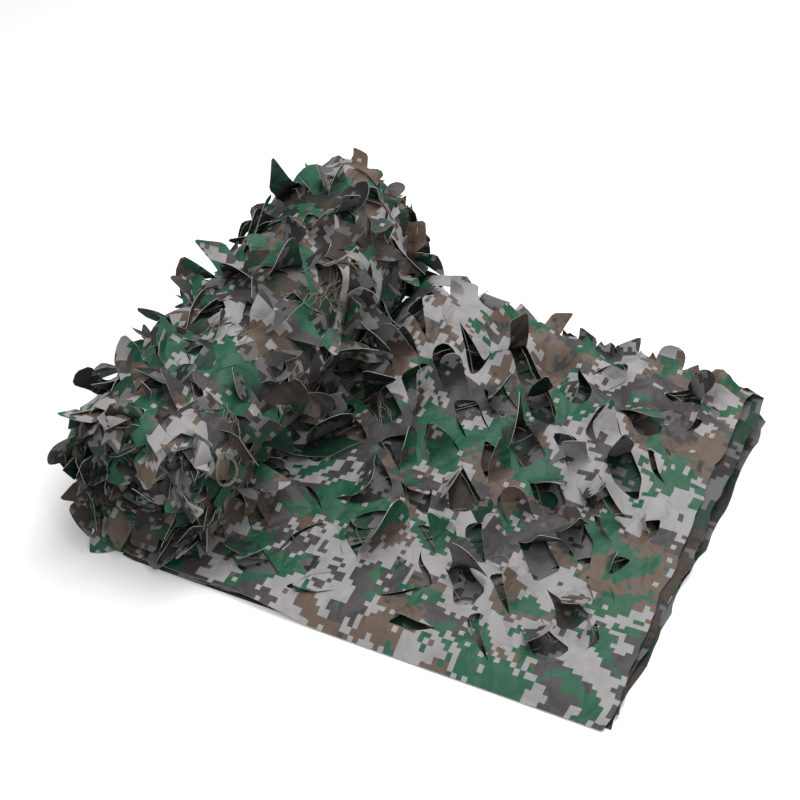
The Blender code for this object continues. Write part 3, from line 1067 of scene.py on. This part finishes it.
    def bent(self, tongue: Tongue, flat: Array) -> Array:
        """The points of one tongue, bent out of the cloth.

        Args:
            tongue: The tongue.
            flat: Its points on the flat net.

        Returns:
            One row (x, y, z) for each point.
        """
        start, end = tongue.root
        full = np.linalg.norm(end - start)
        way = (end - start) / full
        out = np.array([-way[1], way[0]])
        tip = tongue.outline.mean(axis=0) - start
        if tip @ out < 0:
            out = -out
        offset = flat - start
        side, distance = offset @ way, np.maximum(offset @ out, 0.0)
        length = float(((tongue.outline - start) @ out).max())
        side = full / 2 + (side - full / 2) * (1 - self.gap * smooth(0.0, 0.02, distance))
        on_root = np.clip(side, 0, full)
        root = start + on_root[:, None] * way
        here, forward, normal = self.strip.surface(root, np.broadcast_to(out, root.shape))
        ends, ends_ahead, ends_normal = self.strip.surface(
            np.stack([start, end, (start + end) / 2]), np.broadcast_to(out, (3, 2)))
        across = unit(ends[1] - ends[0])
        even = smooth(0.0, 0.014, distance)[:, None]
        straight = ends[2] + across * ((side - full / 2)[:, None])
        here = here + across * (side - on_root)[:, None]
        here = here * (1 - even) + straight * even
        normal = unit(normal * (1 - even) + ends_normal.mean(axis=0) * even)
        forward = forward * (1 - even) + ends_ahead.mean(axis=0) * even
        forward = unit(forward - normal * np.sum(forward * normal, axis=1, keepdims=True))
        bend = tongue.bend
        lean = 1 + bend.twist * (side / full - 0.5) * 2
        samples = (np.arange(12) + 0.5) / 12
        run = distance[:, None] * samples
        ramp = smooth(0.0, 0.012, run)
        angle = bend.start * lean[:, None] * ramp + bend.curl * run / length
        flat_run = distance * np.cos(angle).mean(axis=1) * (1 - bend.pull)
        rise = distance * np.sin(angle).mean(axis=1)
        beside = unit(np.cross(normal, forward)) * (bend.slide * distance)[:, None]
        return here + forward * flat_run[:, None] + normal * rise[:, None] + beside

    def within(self, points: Array) -> Array:
        """Keeps tips from reaching out of the room that the net takes up."""
        for axis, start, way, room in self.limits:
            past = (points[:, axis] - start) * way
            soft = room * (1 - np.exp(-np.maximum(past, 0) / room))
            points[:, axis] = np.where(past > 0, start + way * soft, points[:, axis])
        points[:, 2] = np.maximum(points[:, 2], 0.0004 + self.thickness)
        return points

    def build(self, name: str) -> bpy.types.Object:
        """Makes the cloth.

        Args:
            name: The piece's name.

        Returns:
            The cloth, with its printed face, its back and its cut edges as separate finishes.
        """
        flat, triangles, owners = self.triangulate()
        flat, triangles, owner_of = self.split(flat, triangles, owners)
        points = self.within(self.carried(flat, owner_of))
        used = np.unique(triangles)
        renumber = np.full(len(flat), -1)
        renumber[used] = np.arange(len(used))
        flat, points, triangles = flat[used], points[used], renumber[triangles]
        return self.thick_piece(name, flat, points, triangles)

    def thick_piece(self, name: str, flat: Array, points: Array,
                    triangles: Array) -> bpy.types.Object:
        """Gives the cloth its thickness.

        Args:
            name: The piece's name.
            flat: Places on the flat net.
            points: The same places on the strip.
            triangles: The triangles, with the printed side to the front.

        Returns:
            The finished piece.
        """
        corners = points[triangles]
        crossed = np.cross(corners[:, 1] - corners[:, 0], corners[:, 2] - corners[:, 0])
        normals = np.zeros_like(points)
        for corner in range(3):
            np.add.at(normals, triangles[:, corner], crossed)
        normals = unit(normals)
        count = len(points)
        places = np.concatenate([points + normals * self.thickness / 2,
                                 points - normals * self.thickness / 2])
        edges = np.concatenate([triangles[:, [0, 1]], triangles[:, [1, 2]], triangles[:, [2, 0]]])
        keys = np.sort(edges, axis=1) @ np.array([count, 1])
        _, first, uses = np.unique(keys, return_index=True, return_counts=True)
        rim = edges[first[uses == 1]]
        back = triangles[:, ::-1] + count
        walls = np.stack([rim[:, 1], rim[:, 0], rim[:, 0] + count, rim[:, 1] + count], axis=1)
        faces = triangles.tolist() + back.tolist() + walls.tolist()
        mesh = bpy.data.meshes.new(name)
        mesh.from_pydata(places.tolist(), [], faces)
        materials = np.repeat([0, 1, 2], [len(triangles), len(back), len(walls)])
        mesh.polygons.foreach_set("material_index", materials.astype(np.int32))
        mesh.polygons.foreach_set("use_smooth", np.ones(len(faces), bool))
        spots = mesh.attributes.new("flat_place", "FLOAT_VECTOR", "POINT")
        doubled = np.pad(np.concatenate([flat, flat]), ((0, 0), (0, 1)))
        spots.data.foreach_set("vector", doubled.astype(np.float32).ravel())
        mesh.set_sharp_from_angle(angle=self.sharp_angle)
        mesh.update()
        return new_object(name, mesh)


@dataclass(frozen=True)
class Thread:
    """One netting thread: the points that it follows, and its thickness."""

    line: Array
    radius: float = 0.00045
    closed: bool = False


@dataclass
class NetThreads:
    """The thin netting threads behind the cloth, the bunches in its openings, and loose loops."""

    strip: FoldedStrip
    mesh_size: float = 0.066
    behind: float = 0.0045
    wander: float = 0.004
    thread_step: float = 0.009
    thin: float = 0.0004
    thick: float = 0.0006
    foot_loops: tuple[tuple[float, float], ...] = ((0.100, 0.0042), (0.066, 0.0050))
    ring: tuple[float, float, float] = (0.385, 0.026, 0.017)
    flat_loop: tuple[float, float, float] = (0.168, 0.138, 0.010)
    sides: int = 5
    bunches: int = 11
    strands: tuple[int, int] = (5, 10)
    colour: tuple[float, float, float] = (0.105, 0.100, 0.072)

    def build(self) -> bpy.types.Object:
        """Makes all threads as one piece.

        Returns:
            The piece.
        """
        chance = np.random.default_rng(41)
        threads = self.netting(chance) + self.bunched(chance) + self.loops(chance)
        points, faces = [], []
        for thread in threads:
            made, sides = self.tube(thread, len(points))
            points += made
            faces += sides
        mesh = bpy.data.meshes.new("netting_threads")
        mesh.from_pydata(points, [], faces)
        mesh.polygons.foreach_set("use_smooth", np.ones(len(faces), bool))
        mesh.materials.append(PlainFinish(self.colour, 0.7, scale=220.0,
                                          uneven=0.5).material("netting_thread"))
        piece = new_object("netting_threads", mesh)
        add_to_net(piece, self.strip.sizes.origin)
        LOG.info("%s: %d threads, %d faces", piece.name, len(threads), len(faces))
        return piece

    def patches(self) -> list[tuple[float, float, float, float]]:
        """The parts of the flat net behind whose cuts threads show."""
        net = self.strip.sizes
        return [(0.03, net.tail - 0.03, net.width - net.strip + 0.02, net.width - 0.03),
                (net.tail + 0.08, net.outer_end - 0.02, 0.03, net.strip - 0.02)]

    def over_cloth(self, flat: Array, offset: Array) -> Array:
        """Points at a distance from the printed side of the cloth, or behind it."""
        ahead = np.broadcast_to(np.array([1.0, 0.0]), flat.shape)
        here, _, normal = self.strip.surface(flat, ahead)
        points = here + normal * offset[:, None]
        points[:, 2] = np.maximum(points[:, 2], 0.001)
        return points

    def netting(self, chance: np.random.Generator) -> list[Thread]:
        """The crossing threads behind the cloth."""
        threads = []
        for low, high, first, last in self.patches():
            for heading in (1.0, -1.0):
                for start in np.arange(low - (last - first), high, self.mesh_size * 1.41):
                    share = np.arange(0, last - first, self.thread_step)
                    along = start + share if heading > 0 else start + (last - first) - share
                    over = first + share
                    wander = self.wander * np.sin(TURN * share / 0.07 + chance.uniform(0, 6))
                    flat = np.stack([along + wander, over], axis=1)
                    inside = (flat[:, 0] > low) & (flat[:, 0] < high)
                    if inside.sum() > 3:
                        offset = -self.behind * (0.6 + 0.5 * np.sin(share / 0.013))
                        points = self.over_cloth(flat, offset)
                        threads.append(Thread(points[inside]))
        return threads

    def bunched(self, chance: np.random.Generator) -> list[Thread]:
        """Bunches of slack threads that show between the ribbons of the roll."""
        threads = []
        net = self.strip.sizes
        for number in range(self.bunches):
            rolled = number < self.bunches - 2
            along = (net.tail + 0.20 + 0.26 * chance.random() if rolled
                     else 0.16 + 0.26 * chance.random())
            over = (0.03 + 0.44 * chance.random() if rolled
                    else net.width - net.strip * (0.55 + 0.35 * chance.random()))
            turn = chance.uniform(0, math.pi)
            for _ in range(chance.integers(*self.strands)):
                share = np.linspace(-1, 1, 12)
                length = chance.uniform(0.018, 0.036)
                bow = chance.uniform(-0.006, 0.006)
                own = turn + chance.uniform(-0.35, 0.35)
                side = chance.uniform(-0.007, 0.007)
                run = share * length
                off = side + bow * (1 - share ** 2) + 0.0015 * np.sin(share * 9 + own * 20)
                cos, sin = math.cos(own), math.sin(own)
                flat = np.stack([along + run * cos - off * sin, over + run * sin + off * cos],
                                axis=1)
                offset = 0.0035 * (1 - share ** 2) * chance.uniform(0.2, 1.6) - 0.0018
                threads.append(Thread(self.over_cloth(flat, offset), self.thin))
        return threads

    def loops(self, chance: np.random.Generator) -> list[Thread]:
        """Two small loops at the foot of the roll, a wound ring on it, and one on the flat end."""
        threads = []
        net = self.strip.sizes
        for behind, radius in self.foot_loops:
            root = self.strip.place(np.array([net.tail + behind, 0.031]))
            turn = np.linspace(0, TURN, 15)[:-1]
            threads.append(Thread(root + np.stack([radius * np.cos(turn) - 0.7 * radius,
                                                   0.3 * radius * np.sin(turn) - 0.031,
                                                   radius * np.sin(turn)], axis=1),
                                  self.thin, True))
        behind, over, ring_radius = self.ring
        along, inside, loop_radius = self.flat_loop
        for flat, radius, strands in (((net.tail + behind, over), ring_radius, 3),
                                      ((along, net.width - inside), loop_radius, 1)):
            middle = np.array([flat])
            here, ahead, normal = self.strip.surface(middle, np.array([[1.0, 0.0]]))
            beside = np.cross(normal, ahead)
            for strand in range(strands):
                turn = np.linspace(0, TURN, 36 * strands + 1)[:-1]
                wound = 9 * turn + TURN * strand / strands
                reach = radius + 0.0011 * np.cos(wound) * (strands > 1)
                lift = 0.0035 + 0.0011 * np.sin(wound) * (strands > 1) + 0.002 * np.sin(2 * turn)
                points = (here + ahead * (reach * np.cos(turn))[:, None]
                          + beside * (reach * np.sin(turn) * 0.9)[:, None]
                          + normal * lift[:, None])
                threads.append(Thread(points, self.thick if strands > 1 else self.thin, True))
        return threads

    def tube(self, thread: Thread, first: int) -> tuple[list, list]:
        """A thin tube along a thread.

        Args:
            thread: The thread.
            first: The number of its first point.

        Returns:
            The tube's points and its faces.
        """
        line = thread.line
        if thread.closed:
            tangent = unit(np.roll(line, -1, axis=0) - np.roll(line, 1, axis=0))
        else:
            tangent = unit(np.gradient(line, axis=0))
        helper = np.array([0.31, 0.52, 0.79])
        beside = unit(np.cross(tangent, helper))
        above = np.cross(tangent, beside)
        angles = np.arange(self.sides) * TURN / self.sides
        rings = (line[:, None] + thread.radius * (beside[:, None] * np.cos(angles)[:, None]
                                                  + above[:, None] * np.sin(angles)[:, None]))
        count = len(line)
        faces = []
        for ring in range(count if thread.closed else count - 1):
            here, there = ring * self.sides, (ring + 1) % count * self.sides
            for side in range(self.sides):
                turn = (side + 1) % self.sides
                faces.append([first + here + side, first + here + turn,
                              first + there + turn, first + there + side])
        if not thread.closed:
            faces.append([first + side for side in reversed(range(self.sides))])
            faces.append([first + (count - 1) * self.sides + side for side in range(self.sides)])
        return rings.reshape(-1, 3).tolist(), faces


@dataclass(frozen=True)
class PrintColours:
    """The print's four colours, its specks, and the cut edge of the cloth, whose lighter grey is a
    painted highlight.
    """

    light: tuple[float, float, float] = (0.180, 0.174, 0.178)
    green: tuple[float, float, float] = (0.011, 0.056, 0.031)
    brown: tuple[float, float, float] = (0.070, 0.050, 0.038)
    dark: tuple[float, float, float] = (0.033, 0.030, 0.031)
    speck: tuple[float, float, float] = (0.190, 0.182, 0.165)
    # Lighter than the print's palest colour: a painted highlight where the cut edges catch light.
    edge: tuple[float, float, float] = (0.26, 0.26, 0.25)


class Nodes:
    """A small helper that adds nodes to a material and joins them."""

    def __init__(self, name: str) -> None:
        """Makes the material.

        Args:
            name: Its name.
        """
        self.material = bpy.data.materials.new(name)
        self.material.use_nodes = True
        self.tree = self.material.node_tree
        self.shader = self.tree.nodes["Principled BSDF"]

    def add(self, kind: str, inputs: dict | None = None, **settings: object) -> bpy.types.Node:
        """Adds a node.

        Args:
            kind: The node's type, without the ShaderNode in front.
            inputs: A socket's value, or the socket that feeds it, by the input's name or number.
            settings: The node's own settings.

        Returns:
            The node.
        """
        node = self.tree.nodes.new("ShaderNode" + kind)
        for key, value in settings.items():
            setattr(node, key, value)
        for key, value in (inputs or {}).items():
            self.feed(node.inputs[key], value)
        return node

    def feed(self, socket: bpy.types.NodeSocket, value: object) -> None:
        """Sets a socket, or joins another node's output to it."""
        if isinstance(value, bpy.types.NodeSocket):
            self.tree.links.new(value, socket)
        else:
            socket.default_value = value

    def math(self, operation: str, first: object, second: object = 0.0) -> bpy.types.NodeSocket:
        """The result of a sum or comparison of two values."""
        return self.add("Math", {0: first, 1: second}, operation=operation).outputs[0]

    def mix(self, factor: object, first: object, second: object) -> bpy.types.NodeSocket:
        """A mixture of two colours."""
        node = self.add("Mix", data_type="RGBA")
        colours = [socket for socket in node.inputs if socket.type == "RGBA"]
        self.feed(node.inputs[0], factor)
        for socket, value in zip(colours, (first, second)):
            self.feed(socket, (*value, 1.0) if isinstance(value, tuple) else value)
        return next(socket for socket in node.outputs if socket.type == "RGBA")


@dataclass(frozen=True)
class PrintedFace:
    """The cloth's printed face: patches of square blocks in four colours, with a satin sheen."""

    colours: PrintColours = PrintColours()
    block: float = 0.0057
    brightness: float = 1.0
    roughness: float = 0.50
    specular: float = 0.18
    patch_scale: float = 12.0
    green_above: float = 0.611
    brown_above: float = 0.577
    dark_above: float = 0.595
    speck_above: float = 0.985

    def pattern(self, nodes: Nodes) -> bpy.types.NodeSocket:
        """The print's colour, worked out from each block's place on the flat net.

        Args:
            nodes: The material that it is for.

        Returns:
            The colour.
        """
        flat = nodes.add("Attribute", attribute_name="flat_place").outputs["Vector"]
        step = (self.block, self.block, 1.0)
        snapped = nodes.add("VectorMath", {0: flat, 1: step}, operation="SNAP").outputs[0]
        middle = nodes.add("VectorMath", {0: snapped, 1: (self.block / 2, self.block / 2, 0.0)},
                           operation="ADD").outputs[0]
        double = (self.block * 2, self.block * 2, 1.0)
        coarse = nodes.add("VectorMath", {0: flat, 1: double}, operation="SNAP").outputs[0]
        stray = nodes.add("TexWhiteNoise", {"Vector": middle}, noise_dimensions="3D").outputs[0]
        pairs = nodes.add("TexWhiteNoise", {"Vector": coarse}, noise_dimensions="3D").outputs[0]
        loose = nodes.math("ADD", nodes.math("MULTIPLY", stray, 0.055),
                           nodes.math("MULTIPLY", pairs, 0.055))
        fields = []
        for offset in (0.0, 7.3, 15.1):
            moved = nodes.add("VectorMath", {0: middle, 1: (offset, offset / 2, offset)},
                              operation="ADD").outputs[0]
            noise = nodes.add("TexNoise", {"Vector": moved, "Scale": self.patch_scale,
                                           "Detail": 2.5, "Roughness": 0.62, "Distortion": 0.4},
                              noise_dimensions="3D").outputs["Fac"]
            fields.append(nodes.math("ADD", noise, loose))
        green = nodes.math("GREATER_THAN", fields[0], self.green_above)
        brown = nodes.math("GREATER_THAN", fields[1], self.brown_above)
        dark = nodes.math("GREATER_THAN", fields[2], self.dark_above)
        colour = nodes.mix(brown, self.colours.light, self.colours.brown)
        colour = nodes.mix(dark, colour, self.colours.dark)
        colour = nodes.mix(green, colour, self.colours.green)
        speck = nodes.math("GREATER_THAN", stray, self.speck_above)
        return nodes.mix(speck, colour, self.colours.speck)

    def material(self, name: str) -> bpy.types.Material:
        """Makes the finish.

        Args:
            name: The material's name.

        Returns:
            The material.
        """
        nodes = Nodes(name)
        flat = nodes.add("Attribute", attribute_name="flat_place").outputs["Vector"]
        colour = self.pattern(nodes)
        worn = nodes.add("TexNoise", {"Vector": flat, "Scale": 34.0, "Detail": 4.0,
                                      "Roughness": 0.6}).outputs["Fac"]
        # The noise gives random tone; the brightness factor darkens the whole print, and for the
        # back that darkening is partly painted shade.
        shade = nodes.add("MapRange", {0: worn, 1: 0.3, 2: 0.7, 3: 0.86 * self.brightness,
                                       4: 1.10 * self.brightness}).outputs[0]
        shaded = nodes.add("VectorMath", {0: colour, 1: shade}, operation="MULTIPLY").outputs[0]
        nodes.feed(nodes.shader.inputs["Base Color"], shaded)
        gloss = nodes.add("MapRange", {0: worn, 1: 0.3, 2: 0.7, 3: self.roughness - 0.07,
                                       4: self.roughness + 0.09}).outputs[0]
        nodes.feed(nodes.shader.inputs["Roughness"], gloss)
        nodes.shader.inputs["Specular IOR Level"].default_value = self.specular
        self.relief(nodes, flat)
        return nodes.material

    def relief(self, nodes: Nodes, flat: bpy.types.NodeSocket) -> None:
        """Adds the cloth's fine creases and its weave."""
        crease = nodes.add("TexNoise", {"Vector": flat, "Scale": 48.0, "Detail": 3.0,
                                        "Roughness": 0.55, "Distortion": 0.8}).outputs["Fac"]
        large = nodes.add("TexVoronoi", {"Vector": flat, "Scale": 13.0},
                          feature="DISTANCE_TO_EDGE").outputs["Distance"]
        small = nodes.add("TexVoronoi", {"Vector": flat, "Scale": 37.0},
                          feature="DISTANCE_TO_EDGE").outputs["Distance"]
        ridge = nodes.math("ADD", nodes.math("MINIMUM", large, 0.16),
                           nodes.math("MULTIPLY", nodes.math("MINIMUM", small, 0.20), 0.35))
        weave = nodes.add("TexWave", {"Vector": flat, "Scale": 520.0, "Distortion": 0.3},
                          wave_type="BANDS", bands_direction="DIAGONAL").outputs["Fac"]
        soft = nodes.add("Bump", {"Strength": 0.35, "Distance": 0.004, "Height": crease})
        sharp = nodes.add("Bump", {"Strength": 0.7, "Distance": 0.016, "Height": ridge,
                                   "Normal": soft.outputs[0]})
        fine = nodes.add("Bump", {"Strength": 0.06, "Distance": 0.0004, "Height": weave,
                                  "Normal": sharp.outputs[0]})
        nodes.feed(nodes.shader.inputs["Normal"], fine.outputs[0])


@dataclass(frozen=True)
class PlainFinish:
    """A finish of one colour with a little unevenness."""

    colour: tuple[float, float, float]
    roughness: float
    scale: float = 60.0
    uneven: float = 0.15

    def material(self, name: str) -> bpy.types.Material:
        """Makes the finish.

        Args:
            name: The material's name.

        Returns:
            The material.
        """
        nodes = Nodes(name)
        place = nodes.add("TexCoord").outputs["Object"]
        noise = nodes.add("TexNoise", {"Vector": place, "Scale": self.scale,
                                       "Detail": 3.0}).outputs["Fac"]
        low = tuple(part * (1 - self.uneven) for part in self.colour)
        high = tuple(min(1.0, part * (1 + self.uneven)) for part in self.colour)
        nodes.feed(nodes.shader.inputs["Base Color"], nodes.mix(noise, low, high))
        nodes.shader.inputs["Roughness"].default_value = self.roughness
        return nodes.material


@dataclass
class NetCloth:
    """The net's cloth: its one piece, its cuts and its finishes."""

    strip: FoldedStrip

    def build(self) -> bpy.types.Object:
        """Makes the cloth and says what it is.

        Returns:
            The piece.
        """
        net = self.strip.sizes
        flat_end = CutPattern(self.strip, start=0.0, end=net.tail - 0.035, narrow=(0.026, 0.034),
                              wide=(0.054, 0.066), wide_chance=0.36, seed=11,
                              spare_places=((0.28, net.tail, 1.72, 2.0, 1500),
                                            (0.0, net.tail, 1.5, 2.0, 4200),
                                            (0.0, net.tail, 1.0, 1.5, 700)))
        roll = CutPattern(self.strip, start=net.tail + 0.025, end=net.length - net.hem,
                          narrow=(0.022, 0.030), wide=(0.040, 0.048), wide_chance=0.12, seed=17,
                          lengths=(0.044, 0.057),
                          spare_places=((net.tail, net.outer_end, 0.0, 0.5, 2600),
                                        (net.tail, net.outer_end, 0.5, 1.0, 500)))
        tongues = [*flat_end.tongues(), *roll.tongues()]
        piece = ClothMesh(self.strip, tongues).build("printed_net")
        for material in (PrintedFace().material("printed_face"),
                         # The back: the same print at 0.38 brightness, partly its own muted print
                         # and partly painted shade, so the lower layers seen through the cuts look
                         # shaded.
                         PrintedFace(brightness=0.38, roughness=0.60).material("cloth_back_with_painted_shade"),
                         # Cut edges: their lighter grey is a painted highlight.
                         PlainFinish(PrintColours().edge, 0.6).material("cut_edge_with_painted_highlight")):
            piece.data.materials.append(material)
        add_to_net(piece, net.origin)
        triangles = sum(len(face.vertices) - 2 for face in piece.data.polygons)
        LOG.info("%s: %d tongues, %d triangles", piece.name, len(tongues), triangles)
        return piece


@dataclass(frozen=True)
class Lamp:
    """A square soft light: where it is, the length of its sides, and its power in watts."""

    name: str
    place: tuple[float, float, float]
    size: float
    power: float

    def build(self, aim: Vector) -> None:
        """Hangs the light, turned to a point."""
        data = bpy.data.lights.new(self.name, "AREA")
        data.shape = "SQUARE"
        data.size = self.size
        data.energy = self.power
        light = bpy.data.objects.new(self.name, data)
        light.location = self.place
        light.rotation_euler = (aim - Vector(self.place)).to_track_quat("-Z", "Y").to_euler()
        bpy.context.scene.collection.objects.link(light)


@dataclass
class Studio:
    """The pale floor, the soft lights and the camera."""

    camera_place: tuple[float, float, float] = (0.5386, -1.2147, 1.232)
    azimuth: float = 24.7
    elevation: float = 40.5
    lens: float = 71.6
    floor_size: float = 14.0
    floor_grey: float = 0.64
    surround: float = 0.40
    lit_point: tuple[float, float, float] = (0.0, 0.0, 0.05)
    lamps: tuple[Lamp, ...] = (
        Lamp("key", (0.25, 0.35, 2.3), 1.4, 56.0),
        Lamp("back", (0.30, 1.50, 1.35), 1.0, 20.0),
        Lamp("fill", (-1.5, -1.7, 1.8), 1.6, 38.0),
        Lamp("front", (1.2, -1.2, 2.0), 1.2, 24.0),
    )

    def build(self) -> None:
        """Sets everything up."""
        self.build_floor()
        for lamp in self.lamps:
            lamp.build(Vector(self.lit_point))
        self.build_world()
        self.build_camera()
        bpy.context.scene.view_settings.view_transform = "Standard"

    def build_floor(self) -> None:
        """A wide pale floor."""
        half = self.floor_size / 2
        mesh = bpy.data.meshes.new("floor")
        mesh.from_pydata([(-half, -half, 0), (half, -half, 0), (half, half, 0), (-half, half, 0)],
                         [], [(0, 1, 2, 3)])
        floor = new_object("floor", mesh)
        finish = PlainFinish((self.floor_grey,) * 3, 0.8, scale=3.0, uneven=0.01)
        mesh.materials.append(finish.material("pale_floor"))
        floor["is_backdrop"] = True

    def build_world(self) -> None:
        """An even white surround."""
        world = bpy.data.worlds.new("surround")
        world.use_nodes = True
        background = world.node_tree.nodes["Background"]
        background.inputs["Color"].default_value = (1.0, 1.0, 1.0, 1.0)
        background.inputs["Strength"].default_value = self.surround
        bpy.context.scene.world = world

    def build_camera(self) -> None:
        """The camera, where the photograph was taken from."""
        data = bpy.data.cameras.new("camera")
        data.lens = self.lens
        data.sensor_width = 36.0
        camera = bpy.data.objects.new("camera", data)
        camera.location = self.camera_place
        turn, drop = math.radians(self.azimuth), math.radians(self.elevation)
        aim = Vector((-math.sin(turn) * math.cos(drop), math.cos(turn) * math.cos(drop),
                      -math.sin(drop)))
        camera.rotation_euler = aim.to_track_quat("-Z", "Y").to_euler()
        bpy.context.scene.collection.objects.link(camera)
        bpy.context.scene.camera = camera


def corners(bounds: tuple[Vector, Vector]) -> list[list[float]]:
    """A box's lowest and highest corners as plain lists."""
    return [[float(value) for value in corner] for corner in bounds]


def main(cad_box: list[list[float]]) -> None:
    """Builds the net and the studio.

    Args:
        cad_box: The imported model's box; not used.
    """
    logging.basicConfig(level=logging.INFO, format="%(name)s %(message)s")
    strip = FoldedStrip()
    NetCloth(strip).build()
    NetThreads(strip).build()
    Studio().build()
    bpy.context.view_layer.update()


if __name__ == "__main__":
    main(corners(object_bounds()))
